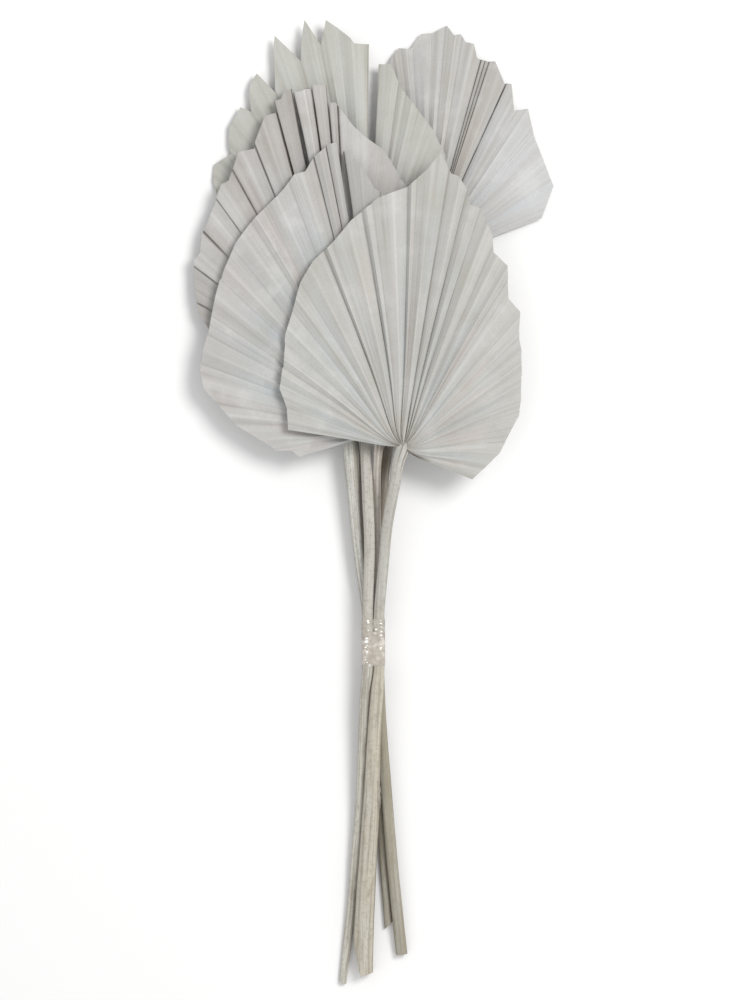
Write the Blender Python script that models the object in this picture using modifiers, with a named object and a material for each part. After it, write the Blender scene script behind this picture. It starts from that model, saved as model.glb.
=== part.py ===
"""Fan palm spears: five dried, trimmed fan palm leaves, their stalks crossed and bound with clear tape.

The bunch lies on its back leaves. X runs across the blades, +Y from the tape towards the tips,
+Z up through the stack of blades. The origin is at the bottom centre of the whole bunch.
Each leaf grew as one piece, so its blade, its hub and its stalk are united into one solid.
"""

from math import cos, pi, radians, sin, sqrt

import bmesh
import bpy
from mathutils import Matrix, Vector

MM = 0.001

# Blades
BLADE_THICKNESS = 0.9
PLEAT_HEIGHT = 1.7            # from the mid surface to a ridge, at the rim
PLEAT_START = 0.25            # share of that height at the hub
RING_SHARES = (0.0, 0.26, 0.5, 0.77, 1.0)
INNER_RADIUS = 4.0            # the blade starts inside the hub
PLEAT_CROWDING = 0.3          # how much narrower the middle pleats are than the outer ones

# Hubs, where blade and stalk meet
HUB_SIZE = (8.5, 8.0, 4.2)    # half sizes

# Stalks
STALK_FLATTENING = 0.66       # thickness over width
TIED_HALF_WIDTH = 3.7

# Tape
TAPE_START = -114.0
TAPE_END = -79.0
TAPE_MARGIN = 2.0             # how far past the tape the stalks stay straight
TAPE_GAP = 0.55
TAPE_THICKNESS = 0.4
TAPE_POINTS = 36

# Every leaf: where its hub is, the straight cuts of its rim as (degrees, millimetres) round the hub,
# how far its sides and tip sink below the hub, its number of pleats, and its stalk from the hub to the
# cut end as (x, y, z, half width). Under the tape a stalk runs straight along Y, at its "tied" x and z.
LEAVES = {
    "front_leaf": {
        "hub": (20.3, 39.5, 35.0),
        "rim": [(-23, 55), (-4, 66.5), (22, 88), (43, 109), (50, 124), (60, 144), (70, 167), (78.5, 190),
                (82.7, 204), (88, 180), (99, 167), (116, 142), (136, 112), (155, 94), (172, 80)],
        "sink": {"left": 4.0, "right": 6.0, "tip": 1.0},
        "pleats": 29,
        "above_tape": [(20.3, 39.5, 35.0, 4.85), (16.9, 29.0, 33.4, 4.35), (15.0, 17.0, 31.4, 3.95),
                       (12.0, 2.0, 28.6, 4.05), (9.1, -16.0, 25.4, 3.75), (6.9, -38.0, 22.2, 3.65),
                       (4.7, -62.0, 19.0, 3.7)],
        "tied": (3.5, 17.8),
        "below_tape": [(2.4, -130.0, 18.6, 4.45), (0.2, -160.0, 17.0, 4.65), (-1.3, -196.0, 13.6, 5.45),
                       (-2.6, -222.0, 11.3, 6.05), (-4.2, -248.0, 10.1, 6.25),
                       (-5.9, -275.0, 9.6, 6.65), (-7.3, -304.0, 7.9, 6.95), (-7.6, -334.0, 5.7, 6.85)],
        "colour": (0.62, 0.60, 0.54),
    },
    "left_leaf": {
        "hub": (5.6, 50.7, 27.0),
        "rim": [(0, 60), (20, 90), (50, 115), (70, 140), (92, 167), (98.8, 201), (109, 188), (121, 171),
                (135, 156), (151, 139), (162, 133), (178, 101), (191, 74), (198, 60)],
        "sink": {"left": 8.0, "right": 10.0, "tip": 1.0},
        "pleats": 27,
        "above_tape": [(5.6, 50.7, 27.0, 4.15), (3.4, 39.0, 24.4, 3.35), (2.4, 27.0, 21.4, 2.75),
                       (1.9, 8.0, 15.3, 2.85), (2.0, -20.0, 13.0, 3.15), (2.9, -52.0, 12.4, 3.55)],
        "tied": (3.4, 12.2),
        "below_tape": [(4.4, -140.0, 11.8, 3.55), (5.9, -165.0, 11.0, 3.65), (8.3, -196.0, 9.4, 3.75),
                       (12.7, -250.0, 7.2, 3.85), (16.1, -284.0, 6.0, 3.9), (19.6, -317.0, 3.9, 3.9)],
        "colour": (0.58, 0.57, 0.52),
    },
    "middle_leaf": {
        "hub": (-15.4, 82.2, 19.4),
        "rim": [(-15, 63), (20, 87), (40, 105), (60, 126), (78, 152), (90, 178), (99.5, 211), (103.6, 210),
                (116, 180), (130, 154), (141.5, 140), (160, 104), (180, 76), (190, 64)],
        "sink": {"left": 8.0, "right": 0.0, "tip": 1.0},
        "pleats": 26,
        "above_tape": [(-15.4, 82.2, 19.4, 4.25), (-16.9, 60.0, 17.6, 5.15), (-15.7, 36.0, 15.5, 5.75),
                       (-12.9, 2.0, 13.4, 5.15), (-9.8, -36.0, 12.2, 4.05), (-6.2, -64.0, 11.6, 3.7)],
        "tied": (-4.4, 11.5),
        "below_tape": [(-2.8, -138.0, 9.2, 3.55), (0.6, -170.0, 6.4, 3.55), (3.6, -200.0, 4.4, 3.45),
                       (6.0, -230.0, 3.1, 3.45), (7.3, -253.0, 2.6, 3.3), (9.4, -280.0, 2.4, 3.2),
                       (10.3, -296.5, 2.4, 3.2)],
        "colour": (0.52, 0.50, 0.46),
    },
    "back_leaf": {
        "hub": (-4.9, 142.4, 11.8),
        "rim": [(-25, 60), (10, 77), (40, 94), (56, 103), (69, 127), (82, 152), (89.8, 171), (96, 190),
                (102.4, 199), (109, 195), (115.7, 175), (123, 160), (132.6, 145), (144, 132), (160, 105),
                (180, 80), (195, 66)],
        "sink": {"left": 9.2, "right": -1.5, "tip": 1.5},
        "pleats": 28,
        "split": {"angle": 88.4, "from_share": 0.3},
        "above_tape": [(-4.9, 142.4, 11.8, 4.15), (-5.2, 112.0, 12.4, 4.15), (-5.5, 80.0, 13.2, 4.15),
                       (-5.6, 40.0, 16.6, 4.05), (-4.3, 4.0, 20.0, 3.95), (-3.1, -28.0, 19.7, 3.75),
                       (-4.0, -64.0, 17.8, 3.7)],
        "tied": (-4.3, 17.1),
        "below_tape": [(-6.1, -134.0, 15.2, 3.35), (-7.3, -160.0, 12.9, 3.05),
                       (-9.0, -191.0, 10.2, 2.95), (-10.2, -216.0, 7.9, 2.95),
                       (-12.9, -246.0, 5.8, 2.95), (-15.2, -275.0, 4.2, 2.95),
                       (-18.3, -304.0, 2.9, 2.95), (-22.0, -336.0, 2.3, 2.45)],
        "colour": (0.50, 0.49, 0.42),
    },
    "right_leaf": {
        "hub": (35.7, 169.0, 4.3),
        "rim": [(20, 87), (31, 104), (45, 115), (56, 127), (66, 138), (77, 156), (84.7, 166), (94, 150),
                (101, 140), (104, 126), (110, 90), (125, 77), (150, 63)],
        "sink": {"left": 0.6, "right": 1.6, "tip": 1.4},
        "pleats": 20,
        "above_tape": [(35.7, 169.0, 4.3, 3.95), (25.0, 115.0, 4.4, 4.05), (15.4, 68.0, 4.4, 3.95),
                       (8.4, 32.0, 4.6, 3.75), (5.4, 2.0, 5.0, 3.75), (3.0, -30.0, 5.5, 3.75),
                       (0.7, -62.0, 6.0, 3.7)],
        "tied": (-0.5, 6.1),
        "below_tape": [(-2.6, -138.0, 3.8, 3.35), (-5.0, -170.0, 2.9, 3.25), (-5.6, -215.0, 2.7, 3.25),
                       (-7.4, -285.0, 2.6, 3.25)],
        "colour": (0.55, 0.54, 0.51),
    },
}


def clear_scene():
    for old in list(bpy.data.objects):
        bpy.data.objects.remove(old, do_unlink=True)


def new_collection(name):
    collection = bpy.data.collections.new(name)
    bpy.context.scene.collection.children.link(collection)
    return collection


def make_material(name, colour, roughness):
    material = bpy.data.materials.new(name)
    material.use_nodes = True
    shader = material.node_tree.nodes["Principled BSDF"]
    shader.inputs["Base Color"].default_value = (*colour, 1.0)
    shader.inputs["Roughness"].default_value = roughness
    shader.inputs["Metallic"].default_value = 0.0
    return material


def rim_radius(rim, angle):
    """Distance from the hub to the straight cut that crosses this direction."""
    for (start, near), (end, far) in zip(rim, rim[1:]):
        if angle <= end:
            break
    across = near * sin(radians(angle - start)) + far * sin(radians(end - angle))
    return near * far * sin(radians(end - start)) / across


def pleat_angle(rim, share):
    """Direction of the fold this share of the way round the blade; the middle folds lie closer together."""
    eased = share + PLEAT_CROWDING * sin(2 * pi * share) / (2 * pi)
    return rim[0][0] + (rim[-1][0] - rim[0][0]) * eased


def blade_height(leaf, x, y):
    """Height of the unpleated blade at this place, measured from the hub."""
    side = "left" if x < 0 else "right"
    reach = max(radius for angle, radius in leaf["rim"])
    width = max(abs(radius * cos(radians(angle))) for angle, radius in leaf["rim"])
    return -leaf["sink"][side] * (x / width) ** 2 - leaf["sink"]["tip"] * (y / reach) ** 2


def make_blade(name, leaf, collection):
    """A polar grid folded into ridges and valleys, thickened to a sheet."""
    hub = Vector(leaf["hub"])
    folds = 2 * leaf["pleats"]
    grid = bmesh.new()
    lines = []
    for fold in range(folds + 1):
        angle = pleat_angle(leaf["rim"], fold / folds)
        rim = rim_radius(leaf["rim"], angle)
        line = []
        for share in RING_SHARES:
            radius = INNER_RADIUS + (rim - INNER_RADIUS) * share
            x = radius * cos(radians(angle))
            y = radius * sin(radians(angle))
            lift = PLEAT_HEIGHT * (PLEAT_START + (1 - PLEAT_START) * share)
            z = blade_height(leaf, x, y) + (lift if fold % 2 else -lift)
            line.append(grid.verts.new((hub + Vector((x, y, z))) * MM))
        lines.append((angle, line))
    split = leaf.get("split")
    for (angle, line), (next_angle, next_line) in zip(lines, lines[1:]):
        for ring in range(len(RING_SHARES) - 1):
            open_here = split and angle <= split["angle"] < next_angle
            if open_here and RING_SHARES[ring + 1] > split["from_share"]:
                continue
            grid.faces.new((line[ring], line[ring + 1], next_line[ring + 1], next_line[ring]))
    mesh = bpy.data.meshes.new(name)
    bmesh.ops.recalc_face_normals(grid, faces=grid.faces)
    grid.to_mesh(mesh)
    grid.free()
    blade = bpy.data.objects.new(name, mesh)
    collection.objects.link(blade)
    sheet = blade.modifiers.new("Sheet thickness", "SOLIDIFY")
    sheet.thickness = BLADE_THICKNESS * MM
    sheet.offset = 0.0
    return blade


def make_hub(name, leaf, helpers):
    """The thick lump that the pleats fan out from."""
    bpy.ops.mesh.primitive_uv_sphere_add(segments=14, ring_count=8, location=Vector(leaf["hub"]) * MM)
    hub = bpy.context.object
    hub.name = name
    hub.scale = Vector(HUB_SIZE) * MM
    bpy.ops.object.transform_apply(location=False, rotation=False, scale=True)
    return move_to_helpers(hub, helpers)


def stalk_points(leaf):
    """The whole route of a stalk, held straight by three points where the tape goes round."""
    x, z = leaf["tied"]
    places = (TAPE_END + TAPE_MARGIN, (TAPE_START + TAPE_END) / 2, TAPE_START - TAPE_MARGIN)
    tied = [(x, y, z, TIED_HALF_WIDTH) for y in places]
    return leaf["above_tape"] + tied + leaf["below_tape"]


def make_stalk(name, leaf, helpers):
    """A flattened, tapering tube: swept round on a stretched route, then pressed flat."""
    curve = bpy.data.curves.new(name, "CURVE")
    curve.dimensions = "3D"
    curve.bevel_depth = MM
    curve.bevel_resolution = 3
    curve.resolution_u = 2
    curve.use_fill_caps = True
    points = stalk_points(leaf)
    spline = curve.splines.new("BEZIER")
    spline.bezier_points.add(len(points) - 1)
    for point, (x, y, z, half_width) in zip(spline.bezier_points, points):
        point.co = Vector((x, y, z / STALK_FLATTENING)) * MM
        point.radius = half_width
        point.handle_left_type = "AUTO"
        point.handle_right_type = "AUTO"
    route = bpy.data.objects.new(name + "_route", curve)
    bpy.context.scene.collection.objects.link(route)
    mesh = bpy.data.meshes.new_from_object(route.evaluated_get(bpy.context.evaluated_depsgraph_get()))
    bpy.data.objects.remove(route, do_unlink=True)
    solid = bmesh.new()
    solid.from_mesh(mesh)
    bmesh.ops.scale(solid, vec=(1.0, 1.0, STALK_FLATTENING), verts=solid.verts)
    bmesh.ops.remove_doubles(solid, verts=solid.verts, dist=0.01 * MM)
    bmesh.ops.recalc_face_normals(solid, faces=solid.faces)
    solid.to_mesh(mesh)
    solid.free()
    stalk = bpy.data.objects.new(name, mesh)
    bpy.context.scene.collection.objects.link(stalk)
    return move_to_helpers(stalk, helpers)


def move_to_helpers(helper, helpers):
    for collection in list(helper.users_collection):
        collection.objects.unlink(helper)
    helpers.objects.link(helper)
    helper.hide_render = True
    helper.display_type = "WIRE"
    return helper


def unite(body, helper):
    union = body.modifiers.new("Grown together with " + helper.name, "BOOLEAN")
    union.operation = "UNION"
    union.solver = "EXACT"
    union.object = helper


def make_leaf(name, leaf, collection, helpers):
    blade = make_blade(name, leaf, collection)
    unite(blade, make_hub(name + "_hub", leaf, helpers))
    unite(blade, make_stalk(name + "_stalk", leaf, helpers))
    blade.data.materials.append(make_material(name + "_dried", leaf["colour"], 0.85))
    return blade


def make_tape(collection):
    """One turn of tape drawn straight across the hollows of the bundle, as a thickened band."""
    band = bmesh.new()
    ring = []
    tied = [leaf["tied"] for leaf in LEAVES.values()]
    half_height = TIED_HALF_WIDTH * STALK_FLATTENING
    for step in range(TAPE_POINTS):
        angle = 2 * pi * step / TAPE_POINTS
        across, up = cos(angle), sin(angle)
        reach = sqrt((TIED_HALF_WIDTH * across) ** 2 + (half_height * up) ** 2)
        x, z = max(tied, key=lambda place: place[0] * across + place[1] * up)
        x += TIED_HALF_WIDTH ** 2 * across / reach + TAPE_GAP * across
        z += half_height ** 2 * up / reach + TAPE_GAP * up
        ring.append([band.verts.new(Vector((x, y, z)) * MM) for y in (TAPE_START, TAPE_END)])
    for (low, high), (next_low, next_high) in zip(ring, ring[1:] + ring[:1]):
        band.faces.new((low, high, next_high, next_low))
    bmesh.ops.recalc_face_normals(band, faces=band.faces)
    mesh = bpy.data.meshes.new("tie_tape")
    band.to_mesh(mesh)
    band.free()
    tape = bpy.data.objects.new("tie_tape", mesh)
    collection.objects.link(tape)
    film = tape.modifiers.new("Film thickness", "SOLIDIFY")
    film.thickness = TAPE_THICKNESS * MM
    film.offset = 1.0
    tape.data.materials.append(make_material("clear_film", (0.60, 0.57, 0.52), 0.15))
    return tape


def stand_on_origin(collection):
    """Moves everything so that the origin is at the bottom centre of the bunch."""
    bpy.context.view_layer.update()
    graph = bpy.context.evaluated_depsgraph_get()
    corners = []
    for piece in collection.objects:
        mesh = piece.evaluated_get(graph).to_mesh()
        corners += [vertex.co.copy() for vertex in mesh.vertices]
    low = Vector([min(corner[axis] for corner in corners) for axis in range(3)])
    high = Vector([max(corner[axis] for corner in corners) for axis in range(3)])
    shift = Vector(((low.x + high.x) / 2, (low.y + high.y) / 2, low.z))
    for piece in bpy.data.objects:
        piece.data.transform(Matrix.Translation(-shift))


def main():
    clear_scene()
    collection = new_collection("fan_palm_spears")
    helpers = new_collection("helpers")
    for name, leaf in LEAVES.items():
        make_leaf(name, leaf, collection, helpers)
    make_tape(collection)
    stand_on_origin(collection)


main()
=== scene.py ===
import random
from math import cos, exp, pi, radians, sin, sqrt

import bmesh
import bpy
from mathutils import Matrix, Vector


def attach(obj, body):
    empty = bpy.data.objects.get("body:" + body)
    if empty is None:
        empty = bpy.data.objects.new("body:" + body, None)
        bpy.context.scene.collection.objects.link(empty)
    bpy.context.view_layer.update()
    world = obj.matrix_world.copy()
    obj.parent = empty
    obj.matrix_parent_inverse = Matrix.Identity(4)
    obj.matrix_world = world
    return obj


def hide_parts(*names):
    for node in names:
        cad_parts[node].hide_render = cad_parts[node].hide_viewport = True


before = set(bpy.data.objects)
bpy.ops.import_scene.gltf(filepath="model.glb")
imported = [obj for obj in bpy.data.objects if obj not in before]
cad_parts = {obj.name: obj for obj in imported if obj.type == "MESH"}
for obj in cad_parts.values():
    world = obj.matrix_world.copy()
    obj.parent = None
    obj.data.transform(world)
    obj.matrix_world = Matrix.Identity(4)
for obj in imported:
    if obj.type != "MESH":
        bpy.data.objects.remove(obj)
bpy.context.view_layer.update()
mm = 0.001
bunchOrigin = Vector((0.467, -0.0785, -0.1))   # from the leaves' own millimetre places to the frame


class Wire:   # one output socket, for writing node maths as expressions
    def __init__(self, graph, source):
        self.graph = graph
        self.source = source

    def out(self, name):   # another output of the same node
        return Wire(self.graph, self.source.node.outputs[name])

    def calc(self, operation, *others):
        values = dict(enumerate((self, *others)))
        return self.graph.add("ShaderNodeMath", {"operation": operation}, values)

    def __add__(self, other):
        return self.calc("ADD", other)

    def __mul__(self, other):
        return self.calc("MULTIPLY", other)

    def __sub__(self, other):
        return self.calc("SUBTRACT", other)

    def __rsub__(self, other):
        return self.graph.number(other).calc("SUBTRACT", self)

    __radd__ = __add__
    __rmul__ = __mul__


class Graph:   # a node tree being filled in
    def __init__(self, tree):
        self.tree = tree

    def add(self, kind, settings=None, values=None, output=0):   # any node: settings first, then sockets
        node = self.tree.nodes.new(kind)
        for name, value in (settings or {}).items():
            setattr(node, name, value)
        for key, value in (values or {}).items():
            for item in value if isinstance(value, list) else [value]:
                if isinstance(item, Wire):
                    self.tree.links.new(item.source, node.inputs[key])
                else:
                    node.inputs[key].default_value = item
        return Wire(self, node.outputs[output]) if node.outputs else node

    def number(self, value):
        wire = self.add("ShaderNodeValue")
        wire.source.default_value = value
        return wire

    def spread(self, value, low, high, toLow=0.0, toHigh=1.0):   # smooth step from one range to another
        return self.add("ShaderNodeMapRange", {"interpolation_type": "SMOOTHSTEP"},
                        {"Value": value, "From Min": low, "From Max": high,
                         "To Min": toLow, "To Max": toHigh})

    def blend(self, factor, first, second, way="MIX"):   # colours
        return self.add("ShaderNodeMix", {"data_type": "RGBA", "blend_type": way},
                        {"Factor": factor, 6: first, 7: second}, 2)

    def coats(self, colour, tint, masks):   # one tint over another, each where its mask lets it show
        for mask, label in masks:
            colour = self.blend(mask, colour, tint[label])
        return colour

    def noise(self, vector, scale, detail=2.0, roughness=0.5):
        return self.add("ShaderNodeTexNoise", {"noise_dimensions": "3D"},
                        {"Vector": vector, "Scale": scale, "Detail": detail, "Roughness": roughness})

    def vector(self, x=0.0, y=0.0, z=0.0):
        return self.add("ShaderNodeCombineXYZ", None, {"X": x, "Y": y, "Z": z})

    def bump(self, height, strength, distance):
        return self.add("ShaderNodeBump", None,
                        {"Strength": strength, "Distance": distance, "Height": height})


def newGeometryTree(name, inputs):   # inputs: name to (socket type, default)
    tree = bpy.data.node_groups.new(name, "GeometryNodeTree")
    tree.interface.new_socket("Geometry", in_out="OUTPUT", socket_type="NodeSocketGeometry")
    tree.interface.new_socket("Geometry", in_out="INPUT", socket_type="NodeSocketGeometry")
    for label, (kind, default) in inputs.items():
        socket = tree.interface.new_socket(label, in_out="INPUT", socket_type="NodeSocket" + kind)
        if default is not None:
            socket.default_value = default
    return tree, Graph(tree)


def closeGeometryTree(graph, geometry, material):
    smooth = graph.add("GeometryNodeSetShadeSmooth", None, {"Geometry": geometry, "Shade Smooth": True})
    whole = graph.add("GeometryNodeRealizeInstances", None, {"Geometry": smooth})
    painted = graph.add("GeometryNodeSetMaterial", None, {"Geometry": whole, "Material": material})
    graph.add("NodeGroupOutput", None, {"Geometry": painted})


def readNamed(graph, label):   # in geometry trees
    return graph.add("GeometryNodeInputNamedAttribute", {"data_type": "FLOAT"}, {"Name": label},
                     "Attribute")


def storeNamed(graph, geometry, label, value):
    return graph.add("GeometryNodeStoreNamedAttribute", {"data_type": "FLOAT", "domain": "POINT"},
                     {"Geometry": geometry, "Name": label, "Value": value})


def runTree(name, tree, data, values):   # the tree's result on this mesh or curve, as a plain mesh object
    source = bpy.data.objects.new(name + "Source", data)
    bpy.context.scene.collection.objects.link(source)
    modifier = source.modifiers.new(tree.name, "NODES")
    modifier.node_group = tree
    for item in tree.interface.items_tree:
        if item.in_out == "INPUT" and item.name in values:
            modifier[item.identifier] = values[item.name]
    graph = bpy.context.evaluated_depsgraph_get()
    mesh = bpy.data.meshes.new_from_object(source.evaluated_get(graph))
    bpy.data.objects.remove(source, do_unlink=True)
    return newPiece(name, mesh)


def newPiece(name, mesh):
    piece = bpy.data.objects.new(name, mesh)
    bpy.context.scene.collection.objects.link(piece)
    return piece


def joinPieces(name, parts):   # one plain mesh object from several
    with bpy.context.temp_override(active_object=parts[0], selected_editable_objects=parts):
        bpy.ops.object.join()
    parts[0].name = name
    return parts[0]


def newPaint(name, constants):   # a material whose fixed values are set on its shader
    material = bpy.data.materials.new(name)
    material.use_nodes = True
    shader = material.node_tree.nodes["Principled BSDF"]
    for label, value in constants.items():
        shader.inputs[label].default_value = value
    return material, Graph(material.node_tree), shader


def feed(shader, graph, wires):   # what changes over the surface
    for label, wire in wires.items():
        graph.tree.links.new(wire.source, shader.inputs[label])


def readAttribute(graph, name):   # in materials
    return graph.add("ShaderNodeAttribute", {"attribute_name": name}, None, "Fac")


def tintsOf(finish, shared):   # a leaf's own colours and the shared ones, with an alpha
    return {label: (*tint, 1.0) for label, tint in {**finish, **shared}.items() if isinstance(tint, tuple)}


# Colours of each leaf: the dry blade, its pinkish and bluish patches, one colour for its veins and its
# painted shade, stains, tips, painted shade for its grooves, and its stalk above and below the tape. Then
# shares: chalk, darker bands, painted shade in deep folds that stays near the rim, painted shade on the
# folded lower edge, and painted shade on one side of the stalk.
bladeFinishes = {
    "front_leaf": {"base": (0.462, 0.464, 0.447), "pink": (0.48, 0.452, 0.43),
                   "cool": (0.44, 0.457, 0.458), "streakAndShade": (0.32, 0.305, 0.27),
                   "stain": (0.41, 0.395, 0.36), "tip": (0.46, 0.458, 0.435),
                   "groove": (0.12, 0.095, 0.075), "upper": (0.45, 0.445, 0.41),
                   "lower": (0.495, 0.46, 0.385), "chalk": 0.3, "bands": 0.3, "outer": 0.35, "under": 0.9,
                   "shady": 0.0, "seed": 3.1},
    "left_leaf": {"base": (0.448, 0.459, 0.449), "pink": (0.47, 0.445, 0.43),
                  "cool": (0.43, 0.455, 0.465), "streakAndShade": (0.31, 0.30, 0.28),
                  "stain": (0.41, 0.405, 0.375), "tip": (0.475, 0.448, 0.432),
                  "groove": (0.11, 0.09, 0.07), "upper": (0.54, 0.50, 0.46), "lower": (0.32, 0.295, 0.23),
                  "chalk": 0.4, "bands": 0.22, "outer": 1.0, "under": 0.0, "shady": 0.0, "seed": 7.7},
    "middle_leaf": {"base": (0.445, 0.442, 0.428), "pink": (0.435, 0.41, 0.39),
                    "cool": (0.42, 0.438, 0.455), "streakAndShade": (0.29, 0.265, 0.24),
                    "stain": (0.36, 0.335, 0.30), "tip": (0.45, 0.435, 0.42),
                    "groove": (0.085, 0.07, 0.058), "upper": (0.60, 0.60, 0.56),
                    "lower": (0.30, 0.275, 0.215), "chalk": 0.2, "bands": 0.25, "outer": 1.0,
                    "under": 0.0, "shady": 0.8, "seed": 12.4},
    "back_leaf": {"base": (0.448, 0.449, 0.43), "pink": (0.455, 0.445, 0.41),
                  "cool": (0.435, 0.447, 0.44), "streakAndShade": (0.32, 0.31, 0.275),
                  "stain": (0.41, 0.405, 0.35), "tip": (0.452, 0.452, 0.41),
                  "groove": (0.12, 0.095, 0.07), "upper": (0.50, 0.48, 0.44),
                  "lower": (0.54, 0.525, 0.47), "chalk": 0.15, "bands": 0.35, "outer": 1.0, "under": 0.0,
                  "shady": 0.0, "seed": 19.9},
    "right_leaf": {"base": (0.462, 0.463, 0.455), "pink": (0.475, 0.455, 0.435),
                   "cool": (0.45, 0.46, 0.475), "streakAndShade": (0.33, 0.30, 0.265),
                   "stain": (0.42, 0.40, 0.36), "tip": (0.465, 0.463, 0.455),
                   # the right stalk above the tape is painted dark brown: painted shade for the shade it
                   # lies in under the other stalks
                   "groove": (0.05, 0.038, 0.028), "upper": (0.20, 0.17, 0.14),
                   "lower": (0.36, 0.33, 0.27), "chalk": 0.45, "bands": 0.4, "outer": 1.0, "under": 0.0,
                   "shady": 0.0, "seed": 26.3},
}

# The same on every blade, then on every stalk. On the blades the ridge light and sky light are painted
# highlights and the underside is painted shade; on the stalks the crease and shadow colours are painted
# shade.
bladeTints = {"paleBand": (0.56, 0.565, 0.555), "chalkWhite": (0.59, 0.59, 0.575),
              "ridgeLight": (0.62, 0.62, 0.60), "skyLight": (0.61, 0.625, 0.645),
              "hubTan": (0.38, 0.355, 0.315), "shadedUnderside": (0.10, 0.08, 0.065)}
stalkTints = {"wash": (0.56, 0.56, 0.53), "worn": (0.27, 0.235, 0.165), "fibre": (0.24, 0.21, 0.165),
              "fine": (0.26, 0.23, 0.185), "creaseShade": (0.17, 0.145, 0.12), "speck": (0.27, 0.24, 0.19),
              "shadow": (0.14, 0.125, 0.105), "edge": (0.17, 0.145, 0.115),
              "pithDark": (0.33, 0.28, 0.21), "pithPale": (0.55, 0.51, 0.43)}


def paintBlade(name, finish):   # chalk-washed dry leaf, streaked along its veins
    material, graph, shader = newPaint(name + "Blade", {"Specular IOR Level": 0.2})
    tint = tintsOf(finish, bladeTints)
    seed = finish["seed"]
    fold, reach, deep, shade, rise = [
        readAttribute(graph, label) for label in ("fold", "reach", "deep", "shade", "rise")]
    place = graph.add("ShaderNodeTexCoord", None, None, "Object")

    spread = graph.spread
    crisp = spread(rise, 0.15, 0.9)
    toValley = 0.5 - (fold.calc("FRACT") - 0.5).calc("ABSOLUTE")   # 0 in a valley, 0.5 on a ridge
    nearHub = spread(reach, 0.02, 0.24, 1.0, 0.0)
    valley = spread(toValley, 0.0, 0.07 + nearHub * 0.16, 1.0, 0.0)
    ridge = spread(toValley, 0.4, 0.5)

    broad = graph.noise(graph.vector(fold * 0.9, reach * 1.1, seed), 1.0, 1.0)
    bands = graph.noise(graph.vector(fold * 3.2, reach * 0.9, seed + 3), 1.0, 2.0)
    veins = graph.noise(graph.vector(fold * 9.0, reach * 1.4, seed + 5), 1.0, 2.0, 0.6)
    hairs = graph.noise(graph.vector(fold * 34.0, reach * 2.4, seed + 9), 1.0, 2.0, 0.6)
    gaps = graph.noise(graph.vector(fold * 1.1, reach * 7.0, seed + 2), 1.0, 2.0)
    slits = graph.noise(graph.vector(fold * 1.4, reach * 22.0, seed + 7), 1.0, 1.0)
    patches = graph.noise(place, 38.0, 4.0, 0.6)
    grain = graph.noise(place, 900.0, 2.0, 0.6)

    fading = spread(reach, 0.4, 0.85, 1.0, finish["outer"])
    unbroken = spread(gaps, 0.3, 0.6, 0.45, 1.0)
    # painted shade: darker in the valleys, most in the deep folds and near the hub
    darkness = valley * (crisp * 0.15 + deep * fading * 0.95 + nearHub * 0.6) * unbroken
    colour = graph.coats(tint["base"], tint, (
        (spread(broad, 0.5, 0.66), "pink"),
        (spread(broad, 0.34, 0.48, 1.0, 0.0), "cool"),
        (spread(reach, 0.6, 1.0, 0.0, 0.7), "tip"),
        (spread(patches, 0.5, 0.7, 0.0, 0.5), "stain"),
        (spread(veins, 0.5, 0.75, 0.0, 0.45), "streakAndShade"),
        (spread(hairs, 0.54, 0.8, 0.0, 0.35), "streakAndShade"),
        (spread(bands, 0.5, 0.7, 0.0, 0.35), "paleBand"),
        (spread(bands, 0.3, 0.5, finish["bands"], 0.0), "streakAndShade"),
        (spread(patches, 0.32, 0.5, finish["chalk"], 0.0), "chalkWhite"),
        # painted highlight along the ridges
        (ridge * crisp * spread(broad, 0.35, 0.6, 0.1, 0.4), "ridgeLight"),
        # the shade attribute: painted shade where it is above zero, painted light where it is below
        (shade.calc("MAXIMUM", 0.0), "streakAndShade"),
        ((shade * -1.0).calc("MAXIMUM", 0.0), "skyLight"),
        (darkness.calc("MINIMUM", 0.96), "groove"),
        (nearHub * 0.45, "hubTan"),
        # painted shade in dark slits in the valleys near the hub
        (spread(slits, 0.54, 0.62) * spread(reach, 0.0, 0.17, 1.0, 0.0) * valley, "groove"),
        # painted shade on the lower edge folded under near the hub
        (spread(fold, 0.4, 1.3, 1.0, 0.0) * spread(reach, 0.16, 0.45, finish["under"], 0.0), "shadedUnderside")))
    level = spread(grain, 0.3, 0.7, 0.97, 1.03)
    level = graph.add("ShaderNodeCombineColor", None, {0: level, 1: level, 2: level})
    colour = graph.blend(1.0, colour, level, "MULTIPLY")

    relief = veins * 0.6 + hairs * 0.3 + grain * 0.04 + patches * 0.3
    feed(shader, graph, {"Base Color": colour, "Roughness": spread(patches, 0.3, 0.7, 0.75, 0.92),
                         "Normal": graph.bump(relief, 0.6, 0.0006)})
    return material


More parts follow.
